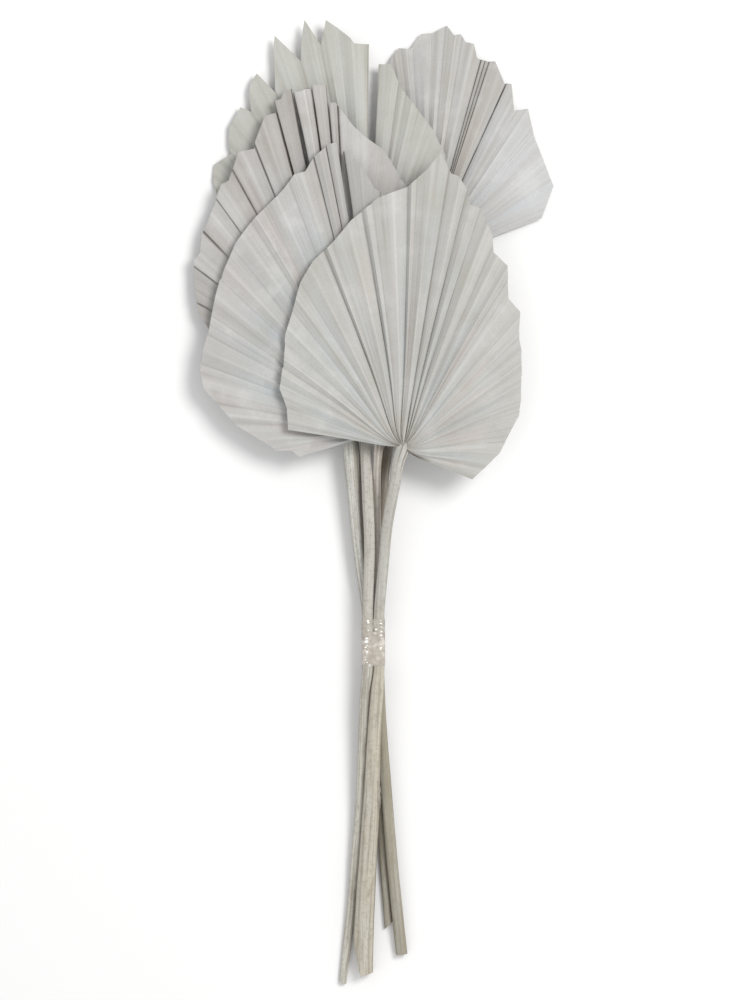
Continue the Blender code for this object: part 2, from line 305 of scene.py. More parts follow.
def paintStalk(name, finish, cutFace=False):   # long fibres with worn whitewash; a cut face is bare pith
    material, graph, shader = newPaint(name + ("StalkCut" if cutFace else "Stalk"),
                                       {"Specular IOR Level": 0.2})
    tint = tintsOf(finish, stalkTints)
    seed = finish["seed"]
    place = graph.add("ShaderNodeTexCoord", None, None, "Object")
    around = readAttribute(graph, "fold")
    reach = readAttribute(graph, "reach")
    wash = graph.noise(graph.vector(around * 4.0, reach * 13.0, seed + 12), 1.0, 3.0, 0.6)
    spread = graph.spread
    if cutFace:
        height = graph.noise(place, 2200.0, 2.0, 0.7)
        colour = graph.blend(spread(height, 0.4, 0.62), tint["pithDark"], tint["pithPale"])
    else:
        fibres = graph.noise(graph.vector(around * 16.0, reach * 9.0, seed), 1.0, 2.0, 0.6)
        fine = graph.noise(graph.vector(around * 46.0, reach * 26.0, seed + 4), 1.0, 2.0, 0.6)
        stains = graph.noise(graph.vector(around * 5.0, reach * 46.0, seed + 8), 1.0, 3.0, 0.65)
        specks = graph.noise(place, 420.0, 4.0, 0.75)
        upward = graph.add("ShaderNodeSeparateXYZ", None, {"Vector": place}, "Y")
        side = (around * (2 * pi)).calc("COSINE")   # -1 on the right edge of the stalk, 1 on the left
        height = fibres * 0.8 + fine * 0.35
        colour = graph.coats(tint["lower"], tint, (
            (spread(upward, -0.125, -0.06), "upper"),
            (spread(wash, 0.46, 0.66, 0.0, 0.32), "wash"),
            (spread(upward, -0.15, -0.06, 0.5, 0.25) * spread(stains, 0.5, 0.7), "worn"),
            (spread(fibres, 0.5, 0.64, 0.0, 0.5), "fibre"),
            (spread(fine, 0.5, 0.7, 0.0, 0.5), "fine"),
            # painted shade in creases near the top of the stalk
            (spread(fibres, 0.47, 0.56) * spread(reach, 0.008, 0.032, 0.8, 0.0), "creaseShade"),
            (spread(specks, 0.48, 0.68, 0.0, 0.5), "speck"),
            (spread(side, -0.7, -0.1, finish["shady"], 0.0), "shadow"),
            (spread(side.calc("ABSOLUTE"), 0.9, 0.995, 0.0, 0.6), "edge")))
    feed(shader, graph, {"Base Color": colour, "Roughness": spread(wash, 0.3, 0.7, 0.7, 0.9),
                         "Normal": graph.bump(height, 0.7, 0.0008)})
    return material


# Blades. Sizes in millimetres; marks are the lines laid in each pleat, from valley over ridge to valley.
fan = {"innerRadius": 0.9, "rings": 48, "ringEase": 0.85, "sheet": 0.5,
       "marks": (0, 0.025, 0.07, 0.16, 0.28, 0.4, 0.46, 0.5, 0.54, 0.6, 0.72, 0.84, 0.93, 0.975),
       "rib": 0.16, "vein": 0.3, "wave": 1.6, "groove": 0.8,
       "crowding": 0.3, "jitter": 0.26, "skew": (0.36, 0.64), "snap": 0.12, "deepFade": 0.5,
       "curlReach": 18.0, "spreadReach": 14.0, "gather": 1.3, "gatherReach": 7.0,
       "edgeTurn": 1.4, "openEase": 0.45, "gapFade": 1.6, "liftFade": 2.5,
       # openDark and cleanDark are the painted shade laid along splits that lift and along those that lie
       # flat
       "openLift": 0.3, "openDark": 1.0, "cleanDark": 0.4}

# One leaf each, in millimetres. Cuts are (degrees, radius) round the hub, joined by straight lines.
# Sink is how far the left side, the right side and the tip hang. Curl and hub spread are for the left half
# and the right. Ridges, saw and shades are (degrees, value): pleat height, how lopsided a pleat is, and
# painted shade where above zero and painted light where below zero. Deep folds are (degrees, darkness):
# the groove is sunk there and painted shade is laid in it. Splits are (degrees, start, gap, lift, how far
# they close at the rim). Stalks are (x, y, z, half width) above and below the tape, and (x, z) where they
# are tied. Ends are the knife cuts, as lines seen from above.
leaves = {
    "front_leaf": {
        "hub": (20.3, 39.5, 35.0), "axis": 82.7, "pleats": 29, "seed": 11, "stepSize": 0.25,
        "cuts": [(-25, 52.8), (-4, 66.5), (15, 82.6), (22, 88), (39, 105), (43, 109), (49, 123),
                 (54.5, 125.3), (60, 144), (65, 147.7), (67, 158), (70, 166.6), (72, 173), (74.5, 173),
                 (76, 182.7), (78.5, 190), (80, 191), (82.7, 204), (85, 192), (89, 179), (96, 171.5),
                 (103, 160), (110, 147.7), (116, 142), (122, 133.7), (129, 121), (136.5, 112), (146, 100),
                 (155, 94), (161, 85.4), (172, 80.5)],
        "sink": (4.0, 6.0, 1.0), "curl": (0.6, 0.25), "hubSpread": (18, 36),
        "ridges": [(-25, 0.45), (10, 0.5), (45, 0.55), (60, 0.75), (74, 1.1), (90, 1.2), (108, 1.0),
                   (120, 0.8), (145, 0.7), (172, 0.55)],
        "saw": [(-25, 0.0), (172, 0.0)],
        "shades": [(-25, 0.5), (-21, 0.15), (-12, 0.15), (0, 0.1), (60, 0.1), (72, 0.25), (84, 0.15),
                   (92, 0.1), (105, 0.2), (115, 0.1), (172, 0.0)],
        "deep": [(112, 0.75), (100, 0.7), (89, 0.5), (80.5, 0.7), (76, 0.8), (72, 0.6), (58, 0.3)],
        "splits": [],
        "aboveTape": [(20.3, 39.5, 35.0, 4.9), (16.9, 29.0, 33.4, 4.4), (15.0, 17.0, 31.4, 4.0),
                      (12.0, 2.0, 28.6, 4.1), (9.1, -16.0, 25.4, 3.8), (6.9, -38.0, 22.2, 3.7),
                      (4.7, -62.0, 19.0, 3.75)],
        "tied": (3.5, 17.8),
        "belowTape": [(2.4, -130.0, 18.6, 4.5), (0.2, -160.0, 17.0, 4.7), (-1.3, -196.0, 13.6, 5.5),
                      (-2.6, -222.0, 11.3, 6.1), (-4.2, -248.0, 10.1, 6.3), (-5.9, -275.0, 9.6, 6.7),
                      (-7.3, -304.0, 7.9, 7.0), (-7.6, -334.0, 5.7, 6.9)],
        "ends": [((-9.5, -330.4), (-0.3, -327.5)), ((-9.5, -330.4), (-14.9, -303.4))],
        "frays": {"count": 14, "starts": (-192.0, -212.0), "lengths": (4.0, 9.0),
                  "halfWidths": (0.3, 0.55), "aside": (-1.6, -0.6, 0.3, 1.0),
                  "rise": (2.5, 2.5, 1.9, 1.0), "scatter": 0.4, "taper": 0.28}},
    "left_leaf": {
        "hub": (5.6, 50.7, 27.0), "axis": 98.8, "pleats": 27, "seed": 23, "stepSize": 0.4,
        "cuts": [(0, 60), (20, 90), (50, 115), (70, 140), (92, 167), (94, 178.5), (97, 194.6),
                 (98.8, 201.6), (100.6, 201), (104, 195), (106.5, 187), (109, 187.6), (112, 181),
                 (114, 178), (121, 171.5), (128, 165), (135, 156), (141, 148.4), (151, 138.6),
                 (156, 136.5), (162, 133), (167, 126.7), (178, 101.5), (191, 74), (192.5, 64.4),
                 (198, 60)],
        "sink": (8.0, 10.0, 1.0), "curl": (0.3, 0.3), "hubSpread": (12, 12),
        "ridges": [(0, 0.4), (80, 0.7), (94, 1.2), (104, 1.1), (112, 0.65), (150, 0.7), (198, 0.6)],
        "saw": [(0, 0.0), (90, 0.3), (103, 0.5), (112, 0.1), (198, 0.0)],
        "shades": [(0, 0.1), (92, 0.45), (103, 0.4), (107, 0.05), (198, 0.0)],
        "deep": [(104, 0.5), (101, 0.6)],
        "splits": [(98.4, 0.55, 4.5, 0.9, 0.35)],
        "aboveTape": [(5.6, 50.7, 27.0, 4.2), (3.4, 39.0, 24.4, 3.4), (2.4, 27.0, 21.4, 2.8),
                      (1.9, 8.0, 15.3, 2.9), (2.0, -20.0, 13.0, 3.2), (2.9, -52.0, 12.4, 3.6)],
        "tied": (3.4, 12.2),
        "belowTape": [(4.4, -140.0, 11.8, 3.6), (5.9, -165.0, 11.0, 3.7), (8.3, -196.0, 9.4, 3.8),
                      (12.7, -250.0, 7.2, 3.9), (16.1, -284.0, 6.0, 3.95), (19.6, -317.0, 3.9, 3.95)],
        "ends": [((15.5, -315.8), (23.4, -315.0))]},
    "middle_leaf": {
        "hub": (-15.4, 82.2, 19.4), "axis": 99.5, "pleats": 26, "seed": 31, "stepSize": 0.4,
        "cuts": [(-15, 63), (20, 87), (40, 105), (60, 126), (76.5, 147), (78, 152), (82, 164.5),
                 (87, 173), (89.6, 179.6), (92.2, 191), (94.1, 200.5), (96.7, 211.7), (99.9, 206.5),
                 (101.3, 208.5), (101.9, 214.5), (105.7, 197.2), (108, 196), (112.5, 178.5), (116, 180.6),
                 (121, 166), (123, 166.6), (130, 154), (135, 147.7), (139, 140), (141.5, 140.7),
                 (146.5, 131.6), (154.5, 119), (160, 104), (170, 87.5), (180, 75.6), (190, 64.4)],
        "sink": (8.0, 0.0, 1.0), "curl": (0.3, 0.3), "hubSpread": (12, 12),
        "ridges": [(-15, 0.5), (70, 0.5), (84, 0.6), (92, 0.9), (106, 0.9), (120, 0.7), (150, 0.7),
                   (190, 0.8)],
        "saw": [(-15, 0.2), (85, 0.3), (92, 1.0), (190, 1.0)],
        "shades": [(-15, 0.1), (84, 0.05), (88, -0.15), (92, -0.15), (93, 0.2), (96, 0.3), (98, 0.1),
                   (101, -0.1), (101.6, 0.5), (106, 0.35), (110, 0.25), (116, 0.05), (140, 0.0),
                   (150, 0.25), (165, 0.45), (190, 0.55)],
        "deep": [(93, 1.0), (112, 0.5), (119, 0.7), (126, 0.3), (134, 0.5), (143, 0.5), (152, 0.45)],
        "splits": [(105.3, 0.62, 1.8, 0.5, 0.9), (101.4, 0.5, 4.6, 0.9, 0.9), (97.7, 0.62, 1.6, 0.6, 0.8),
                   (94.8, 0.66, 1.2, 0.5, 0.5)],
        "aboveTape": [(-15.4, 82.2, 19.4, 4.3), (-16.9, 60.0, 17.6, 5.2), (-15.7, 36.0, 15.5, 5.8),
                      (-12.9, 2.0, 13.4, 5.2), (-9.8, -36.0, 12.2, 4.1), (-6.2, -64.0, 11.6, 3.75)],
        "tied": (-4.4, 11.5),
        "belowTape": [(-2.8, -138.0, 9.2, 3.6), (0.6, -170.0, 6.4, 3.6), (3.6, -200.0, 4.4, 3.5),
                      (6.0, -230.0, 3.1, 3.5), (7.3, -253.0, 2.6, 3.3), (9.4, -280.0, 2.4, 3.2),
                      (11.0, -302.0, 2.4, 3.2)],
        "ends": [((8.2, -297.2), (11.8, -293.8))]},
    "back_leaf": {
        "hub": (-4.9, 142.4, 11.8), "axis": 98, "pleats": 28, "seed": 47, "stepSize": 0.15,
        "cuts": [(-25, 60), (10, 77), (40, 94), (56, 103), (62, 115), (69, 127), (76, 138.6), (82, 152),
                 (85, 164.5), (87, 163.8), (89.8, 177.8), (92, 178.5), (93, 182.7), (95.6, 189.7),
                 (98.3, 196.7), (100.3, 180), (102.6, 199.5), (104.1, 187.7), (105.5, 172.5),
                 (109.3, 195), (110.7, 185), (112.2, 170), (113.9, 158), (116, 175.5), (118, 172),
                 (119.7, 167), (121.6, 154), (123.3, 161), (128.5, 154.5), (131.8, 145), (133, 139),
                 (138.4, 142.5), (142, 136.5), (145, 128), (150, 119), (160, 105), (170, 91), (180, 80),
                 (195, 66)],
        "sink": (9.2, -1.5, 1.5), "curl": (0.3, 0.3), "hubSpread": (12, 12),
        "ridges": [(-25, 0.4), (60, 0.4), (80, 0.5), (92, 0.65), (104, 0.55), (115, 0.4), (195, 0.45)],
        "saw": [(-25, 0.0), (195, 0.0)],
        "shades": [(-25, 0.1), (70, 0.1), (84, 0.15), (96, 0.1), (106, 0.0), (195, 0.0)],
        "deep": [(105.5, 0.25), (100.3, 0.15), (113.9, 0.2), (121.6, 0.2), (133, 0.25), (82, 0.35)],
        "splits": [(88.4, 0.3, 7.2, 0.2, 0.0)],
        "aboveTape": [(-4.9, 142.4, 11.8, 4.2), (-5.2, 112.0, 12.4, 4.2), (-5.5, 80.0, 13.2, 4.2),
                      (-5.6, 40.0, 16.6, 4.1), (-4.3, 4.0, 20.0, 4.0), (-3.1, -28.0, 19.7, 3.8),
                      (-4.0, -64.0, 17.8, 3.75)],
        "tied": (-4.3, 17.1),
        "belowTape": [(-6.1, -134.0, 15.4, 3.6), (-7.3, -160.0, 13.2, 3.4), (-9.0, -191.0, 10.2, 3.0),
                      (-10.2, -216.0, 7.9, 3.0), (-12.9, -246.0, 5.8, 3.0), (-15.2, -275.0, 4.2, 3.0),
                      (-18.3, -304.0, 2.9, 3.0), (-22.0, -336.0, 2.3, 2.5)],
        "ends": [((-24.3, -334.2), (-20.4, -337.1))]},
    "right_leaf": {
        "hub": (35.7, 169.0, 4.3), "axis": 84.7, "pleats": 24, "seed": 59, "stepSize": 0.15,
        "cuts": [(20.3, 87), (30.5, 104), (49.3, 116.5), (56, 128.8), (59.5, 122.5), (64, 138),
                 (66, 136.5), (70.7, 148.4), (72.8, 146.3), (75.7, 147), (77.3, 156), (79.6, 156),
                 (81, 161), (82.7, 159.6), (84.7, 166), (88, 159.6), (91, 159), (94, 149), (97, 150.5),
                 (101, 140), (104, 126), (110, 90), (125, 77), (150, 63)],
        "sink": (0.4, 0.4, 0.6), "curl": (0.2, 0.2), "hubSpread": (8, 8),
        "ridges": [(20, 0.15), (50, 0.25), (58, 0.45), (64, 0.8), (76, 0.95), (88, 0.5), (104, 0.4),
                   (150, 0.45)],
        "saw": [(20, 0.0), (58, 0.0), (62, 0.5), (76, 0.5), (80, 0.1), (150, 0.0)],
        "shades": [(20, -0.3), (40, -0.35), (55, -0.2), (60, 0.0), (66, 0.2), (75, 0.35), (80, 0.2),
                   (100, 0.2), (150, 0.3)],
        "deep": [(74.4, 0.6), (73.3, 0.55), (72.3, 0.45), (65.5, 0.9), (85, 0.15)],
        "splits": [],
        "aboveTape": [(35.7, 169.0, 4.3, 4.0), (25.0, 115.0, 4.4, 4.1), (15.4, 68.0, 4.4, 4.0),
                      (8.4, 32.0, 4.6, 3.8), (5.4, 2.0, 5.0, 3.8), (3.0, -30.0, 5.5, 3.8),
                      (0.7, -62.0, 6.0, 3.75)],
        "tied": (-0.5, 6.1),
        "belowTape": [(-2.6, -138.0, 3.8, 3.4), (-5.0, -170.0, 2.9, 3.3), (-5.6, -215.0, 2.7, 3.3),
                      (-7.4, -285.0, 2.6, 3.3)],
        "ends": [((-10.8, -283.0), (-4.0, -281.5))]},
}


def cutRadius(cuts, angle):   # where this direction meets the straight cuts of the rim
    for (start, near), (end, far) in zip(cuts, cuts[1:]):
        if angle <= end:
            break
    across = near * sin(radians(angle - start)) + far * sin(radians(end - angle))
    return near * far * sin(radians(end - start)) / across


def along(places, angle):   # straight-line reading of a list of (degrees, value)
    for (start, low), (end, high) in zip(places, places[1:]):
        if angle <= end:
            break
    return low + (high - low) * min(1.0, max(0.0, (angle - start) / (end - start)))


def setFolds(leaf):   # directions of the valleys at the rim, closer together in the middle of the fan
    chance = random.Random(leaf["seed"] + 100)
    first, last = leaf["cuts"][0][0], leaf["cuts"][-1][0]
    width = (last - first) / leaf["pleats"]
    valleys = []
    for pleat in range(leaf["pleats"] + 1):
        share = pleat / leaf["pleats"]
        eased = share + fan["crowding"] * sin(2 * pi * share) / (2 * pi)
        shift = chance.uniform(-1, 1) * fan["jitter"] * width if 0 < pleat < leaf["pleats"] else 0
        valleys.append(first + (last - first) * eased + shift)
    free = valleys[1:-1]
    fixed = [item[0] for item in leaf["splits"] + leaf["deep"]]   # these folds have their places
    for angle in fixed:
        free.remove(min(free, key=lambda valley: abs(valley - angle)))
    leaf["valleys"] = sorted(free + [first, last] + fixed)
    leaf["skews"] = [chance.uniform(*fan["skew"]) for _ in valleys]


def foldAngle(leaf, fold):   # direction of any line, counted in pleats
    pleat = min(int(fold), leaf["pleats"] - 1)
    start, end = leaf["valleys"][pleat], leaf["valleys"][pleat + 1]
    skew, part = leaf["skews"][pleat], fold - pleat
    share = part * 2 * skew if part < 0.5 else skew + (part - 0.5) * 2 * (1 - skew)
    return start + (end - start) * share


def foldAt(leaf, angle):   # the line, counted in pleats, that lies in this direction
    pleat = max(fold for fold in range(leaf["pleats"]) if leaf["valleys"][fold] <= angle)
    start, end, skew = leaf["valleys"][pleat], leaf["valleys"][pleat + 1], leaf["skews"][pleat]
    share = (angle - start) / (end - start)
    return pleat + (share / skew / 2 if share < skew else 0.5 + (share - skew) / (1 - skew) / 2)


def foldNear(leaf, angle):   # the valley closest to this direction
    return min(range(leaf["pleats"] + 1), key=lambda fold: abs(foldAngle(leaf, fold) - angle))


def curledAngle(leaf, angle, radius):   # folds leave the hub spread wide, then bend towards the tip
    side, furthest = (1, leaf["cuts"][-1][0]) if angle > leaf["axis"] else (-1, leaf["cuts"][0][0])
    half = 0 if side > 0 else 1
    widest = abs(furthest - leaf["axis"])
    share = abs(angle - leaf["axis"]) / widest
    widest += leaf["hubSpread"][half] * exp(-radius / fan["spreadReach"])
    bend = 1 - leaf["curl"][half] * exp(-radius / fan["curlReach"])
    return leaf["axis"] + side * widest * share ** bend


def sheetHeight(leaf, x, y):   # the unpleated sheet, from the hub
    left, right, tip = leaf["sink"]
    reach = max(radius for angle, radius in leaf["cuts"])
    width = max(abs(radius * cos(radians(angle))) for angle, radius in leaf["cuts"])
    gathered = fan["gather"] * exp(-(x * x + y * y) / fan["gatherReach"] ** 2)
    return gathered - (left if x < 0 else right) * (x / width) ** 2 - tip * (y / reach) ** 2


def sideOf(at, fold, side):   # on which side of a split a line lies
    return side if fold == at else (1 if fold > at else -1)


def layColumns(leaf, splits):   # every line out of the hub: fold, side of a split, the split, direction
    columns = []
    for pleat in range(leaf["pleats"]):
        for mark in fan["marks"]:
            split = next((item for item in splits if mark == 0 and item[0] == pleat), None)
            for side in (-1, 1) if split else (0,):
                columns.append([pleat + mark, side, split, foldAngle(leaf, pleat + mark)])
    columns.append([leaf["pleats"], 0, None, foldAngle(leaf, leaf["pleats"])])
    for corner, _ in leaf["cuts"][1:-1]:   # a line through every corner of the cut keeps it sharp
        nearest = min(columns[1:-1], key=lambda column: (abs(column[1]), abs(column[3] - corner)))
        if abs(nearest[3] - corner) < fan["snap"]:
            nearest[3] = corner
        else:
            columns.append([foldAt(leaf, corner), 0, None, corner])
    return sorted(columns, key=lambda column: (column[3], column[1]))


def layFan(name, leaf):   # the flat fan with its cuts and splits, carrying what the folding needs
    setFolds(leaf)
    chance = random.Random(leaf["seed"])
    steps = [(chance.uniform(-1, 1), chance.uniform(-1, 1)) for _ in range(leaf["pleats"] + 1)]
    splits = [(foldNear(leaf, split[0]), *split[1:]) for split in leaf["splits"]]
    deep = [(foldNear(leaf, angle), amount) for angle, amount in leaf["deep"]]
    for at, _, _, lift, _ in splits:
        deep.append((at, fan["openDark"] if lift > fan["openLift"] else fan["cleanDark"]))
    shares = [(ring / fan["rings"]) ** fan["ringEase"] for ring in range(fan["rings"] + 1)]
    hub = Vector(leaf["hub"]) + bunchOrigin
    columns = layColumns(leaf, splits)
    points, faces, grid, marks = [], [], [], []
    for fold, side, split, angle in columns:
        step, slant = steps[int(fold)]
        crossing = angle
        for at, *_ in splits:   # both edges of a split are cut as they stood before it opened
            if abs(angle - leaf["valleys"][at]) < fan["edgeTurn"]:
                crossing = leaf["valleys"][at] + sideOf(at, fold, side) * fan["edgeTurn"]
        rim = cutRadius(leaf["cuts"], crossing)
        rim += leaf["stepSize"] * (step + slant * (2 * (fold % 1) - 1))
        depth = sum(amount * max(0.0, 1 - abs(fold - at) / fan["deepFade"]) for at, amount in deep)
        bearing = [min(1.0, depth)] + [along(leaf[label], angle) for label in ("ridges", "saw", "shades")]
        line = []
        for ring, share in enumerate(shares):
            if side == 1 and share <= split[1]:
                line.append(grid[-1][ring])
                continue
            radius = fan["innerRadius"] + (rim - fan["innerRadius"]) * share
            turn = radians(curledAngle(leaf, angle, radius))
            lifted = 0.0
            for at, start, gap, lift, close in splits:
                if share > start:
                    past = (share - start) / (1 - start)
                    opened = sideOf(at, fold, side) * past ** fan["openEase"] * (1 - close * past ** 2)
                    away = abs(fold - at)
                    turn += opened * gap / 2 / radius * max(0.0, 1 - away / fan["gapFade"])
                    lifted += opened * lift * max(0.0, 1 - away / fan["liftFade"])
            x, y = radius * cos(turn), radius * sin(turn)
            line.append(len(points))
            points.append((hub + Vector((x, y, sheetHeight(leaf, x, y) + lifted))) * mm)
            marks.append([fold, share] + bearing)
        grid.append(line)
    for (_, side, _, _), line, other in zip(columns, grid, grid[1:]):
        if side != -1:
            for ring in range(fan["rings"]):
                faces.append([other[ring], other[ring + 1], line[ring + 1], line[ring]])
    mesh = bpy.data.meshes.new(name + "Fan")
    mesh.from_pydata(points, [], faces)
    for slot, label in enumerate(("fold", "reach", "deep", "rise", "saw", "shade")):
        layer = mesh.attributes.new(label, "FLOAT", "POINT")
        layer.data.foreach_set("value", [mark[slot] for mark in marks])
    return mesh


def makeFoldTree():   # raises ridges, sinks valleys, adds ribs and waves, then gives the sheet thickness
    tree, graph = newGeometryTree("foldBlade", {
        "Rib height": ("Float", fan["rib"] * mm), "Vein height": ("Float", fan["vein"] * mm),
        "Wave height": ("Float", fan["wave"] * mm), "Groove depth": ("Float", fan["groove"] * mm),
        "Sheet": ("Float", fan["sheet"] * mm), "Seed": ("Float", 0.0), "Material": ("Material", None)})
    given = graph.add("NodeGroupInput", None, None, "Geometry")
    fold, reach, deep, rise, saw = [
        readNamed(graph, label) for label in ("fold", "reach", "deep", "rise", "saw")]
    place = graph.add("GeometryNodeInputPosition")
    seed = given.out("Seed")
    part = fold.calc("FRACT")
    toValley = 0.5 - (part - 0.5).calc("ABSOLUTE")   # 0 in a valley, 0.5 on a ridge
    tent = toValley * 2.0
    folded = tent + (part - tent) * saw
    uneven = graph.noise(graph.vector(fold * 0.6, reach * 1.3, seed), 1.0, 1.0)
    height = rise * mm * graph.spread(reach, 0.0, 0.5, 0.25, 1.0) * (0.4 + uneven * 1.2)
    rib = given.out("Rib height") * graph.spread(toValley, 0.44, 0.5) * graph.spread(uneven, 0.35, 0.65)
    groove = deep * given.out("Groove depth") * graph.spread(toValley, 0.0, 0.25, 1.0, 0.0)
    veins = graph.noise(graph.vector(fold * 7.0, reach * 1.2, seed + 4), 1.0, 2.0) - 0.5
    wave = (graph.noise(place, 14.0, 2.0) - 0.5) * graph.spread(reach, 0.1, 0.8)
    lift = height * (folded * 2.0 - 1.0) + rib - groove
    lift = lift + veins * given.out("Vein height") + wave * given.out("Wave height")
    bent = graph.add("GeometryNodeSetPosition", None,
                     {"Geometry": given, "Offset": graph.vector(0.0, 0.0, lift)})
    raised = graph.add("GeometryNodeExtrudeMesh", {"mode": "FACES"},
                       {"Mesh": bent, "Offset": graph.vector(0.0, 0.0, 1.0),
                        "Offset Scale": given.out("Sheet"), "Individual": False}, "Mesh")
    under = graph.add("GeometryNodeFlipFaces", None, {"Mesh": bent})
    shell = graph.add("GeometryNodeJoinGeometry", None, {"Geometry": [raised, under]})
    closed = graph.add("GeometryNodeMergeByDistance", None, {"Geometry": shell, "Distance": 0.01 * mm})
    closeGeometryTree(graph, closed, given.out("Material"))
    return tree


# Stalks. Hub flare is (distance below the hub, half width, drop), tape is where the bundle is bound.
stalk = {"sides": 28, "flattening": 0.64, "channel": 0.3, "spacing": 1.6, "fibre": 0.16,
         "margin": 2.0, "floorGap": 0.5, "tape": (-114.0, -79.0), "tiedHalfWidth": 3.75,
         "hubFlare": ((8.5, 4.5, 0.2), (4.5, 4.9, 0.5), (0.8, 5.3, 1.0), (-2.6, 4.3, 1.7),
                      (-6.0, 2.2, 4.2))}


def routeStalk(name, leaf):   # the stalk's centre line, widened into the hub at its top
    above = leaf["aboveTape"]
    hub, below = Vector(above[0][:3]), Vector(above[1][:3])
    down = (below - hub).normalized()
    start, end = stalk["tape"]
    x, z = leaf["tied"]
    tied = [(x, y, z, stalk["tiedHalfWidth"])
            for y in (end + stalk["margin"], (start + end) / 2, start - stalk["margin"])]
    flare = []
    for distance, width, drop in reversed(stalk["hubFlare"]):
        place = hub + down * distance
        lowest = width * stalk["flattening"] + stalk["floorGap"]
        place.z -= min(drop, place.z - lowest)
        flare.append((*place, width))
    route = flare + above[1:] + tied + leaf["belowTape"]
    curve = bpy.data.curves.new(name + "Route", "CURVE")
    curve.dimensions = "3D"
    curve.resolution_u = 24
    spline = curve.splines.new("BEZIER")
    spline.bezier_points.add(len(route) - 1)
    for point, (x, y, z, width) in zip(spline.bezier_points, route):
        point.co = (Vector((x, y, z)) + bunchOrigin) * mm
        point.radius = width * mm
        point.handle_left_type = "AUTO"
        point.handle_right_type = "AUTO"
    return curve


def makeStalkTree():   # sweeps a flattened, channelled section along a route and roughens it with fibres
    tree, graph = newGeometryTree("sweepStalk", {
        "Spacing": ("Float", stalk["spacing"] * mm), "Flattening": ("Float", stalk["flattening"]),
        "Channel": ("Float", stalk["channel"]), "Fibre": ("Float", stalk["fibre"] * mm),
        "Seed": ("Float", 0.0), "Material": ("Material", None)})
    given = graph.add("NodeGroupInput", None, None, "Geometry")
    upright = graph.add("GeometryNodeSetCurveNormal", {"mode": "Z_UP"}, {"Curve": given})
    even = graph.add("GeometryNodeResampleCurve", {"mode": "LENGTH"},
                     {"Curve": upright, "Length": given.out("Spacing")})
    length = graph.add("GeometryNodeSplineParameter", None, None, "Length")
    route = storeNamed(graph, even, "reach", length)
    circle = graph.add("GeometryNodeCurvePrimitiveCircle", {"mode": "RADIUS"},
                       {"Resolution": stalk["sides"], "Radius": 1.0})
    turn = graph.add("GeometryNodeSplineParameter", None, None, "Factor")
    ring = storeNamed(graph, circle, "fold", turn)
    place = graph.add("GeometryNodeInputPosition")
    across = graph.add("ShaderNodeSeparateXYZ", None, {"Vector": place}, "X")
    up = across.out("Y")
    hollow = graph.spread(across.calc("ABSOLUTE"), 0.0, 0.75, 1.0, 0.0) * graph.spread(up, 0.0, 0.6)
    pressed = up * given.out("Flattening") - hollow * given.out("Channel") * 0.6
    section = graph.add("GeometryNodeSetPosition", None,
                        {"Geometry": ring, "Position": graph.vector(across, pressed, 0.0)})
    swept = graph.add("GeometryNodeCurveToMesh", None,
                      {"Curve": route, "Profile Curve": section, "Fill Caps": True})
    if "Scale" in swept.source.node.inputs:   # newer releases take the points' radius here
        radius = graph.add("GeometryNodeInputRadius")
        tree.links.new(radius.source, swept.source.node.inputs["Scale"])
    seed = given.out("Seed")
    lengthways = readNamed(graph, "reach")
    angle = readNamed(graph, "fold") * (2 * pi)
    section = graph.vector(angle.calc("COSINE") * 5.0, angle.calc("SINE") * 5.0, lengthways * 18.0 + seed)
    fibres = graph.noise(section, 1.0, 2.0) - 0.5
    knots = graph.noise(graph.vector(seed, 0.0, lengthways * 30.0), 1.0, 2.0) - 0.5
    swell = fibres * given.out("Fibre") * 2.0 + knots * given.out("Fibre")
    outward = graph.add("GeometryNodeInputNormal")
    push = graph.add("ShaderNodeVectorMath", {"operation": "SCALE"}, {0: outward, "Scale": swell})
    rough = graph.add("GeometryNodeSetPosition", None, {"Geometry": swept, "Offset": push})
    closeGeometryTree(graph, rough, given.out("Material"))
    return tree


def trimEnd(piece, leaf, cutMaterial):   # knife cuts across the lower end, as lines seen from above
    inside = Vector(leaf["belowTape"][-2][:2])
    piece.data.materials.append(cutMaterial)
    mesh = bmesh.new()
    mesh.from_mesh(piece.data)
    for start, end in leaf["ends"]:
        start, end = Vector(start), Vector(end)
        outward = (end - start).orthogonal()
        if outward.dot(inside - start) > 0:
            outward.negate()
        whole = mesh.verts[:] + mesh.edges[:] + mesh.faces[:]
        cut = bmesh.ops.bisect_plane(mesh, geom=whole, plane_co=(start.to_3d() + bunchOrigin) * mm,
                                     plane_no=outward.to_3d(), clear_outer=True)
        rimEdges = [item for item in cut["geom_cut"] if isinstance(item, bmesh.types.BMEdge)]
        for face in bmesh.ops.contextual_create(mesh, geom=rimEdges)["faces"]:
            face.material_index = 1
            face.smooth = False
    bmesh.ops.recalc_face_normals(mesh, faces=mesh.faces)
    mesh.to_mesh(piece.data)
    mesh.free()


def layFrays(leaf):   # the lines of fibres torn loose along the stalk's right edge
    frays = leaf["frays"]
    chance = random.Random(leaf["seed"])
    stretches = list(zip(leaf["belowTape"], leaf["belowTape"][1:]))
    curve = bpy.data.curves.new("frayRoutes", "CURVE")
    curve.dimensions = "3D"
    for _ in range(frays["count"]):
        start, length = chance.uniform(*frays["starts"]), chance.uniform(*frays["lengths"])
        width = chance.uniform(*frays["halfWidths"])
        spline = curve.splines.new("POLY")
        spline.points.add(3)
        for step, point in enumerate(spline.points):
            y = start - length * step / 3
            high, low = next(pair for pair in stretches if pair[1][1] <= y)
            x, _, z, half = Vector(high).lerp(Vector(low), (high[1] - y) / (high[1] - low[1]))
            aside = half + frays["aside"][step] + chance.uniform(-1, 1) * frays["scatter"]
            place = Vector((x + aside, y, z + frays["rise"][step]))
            point.co = (*(place + bunchOrigin) * mm, 1.0)
            point.radius = width * (1 - frays["taper"] * step) * mm
    return curve


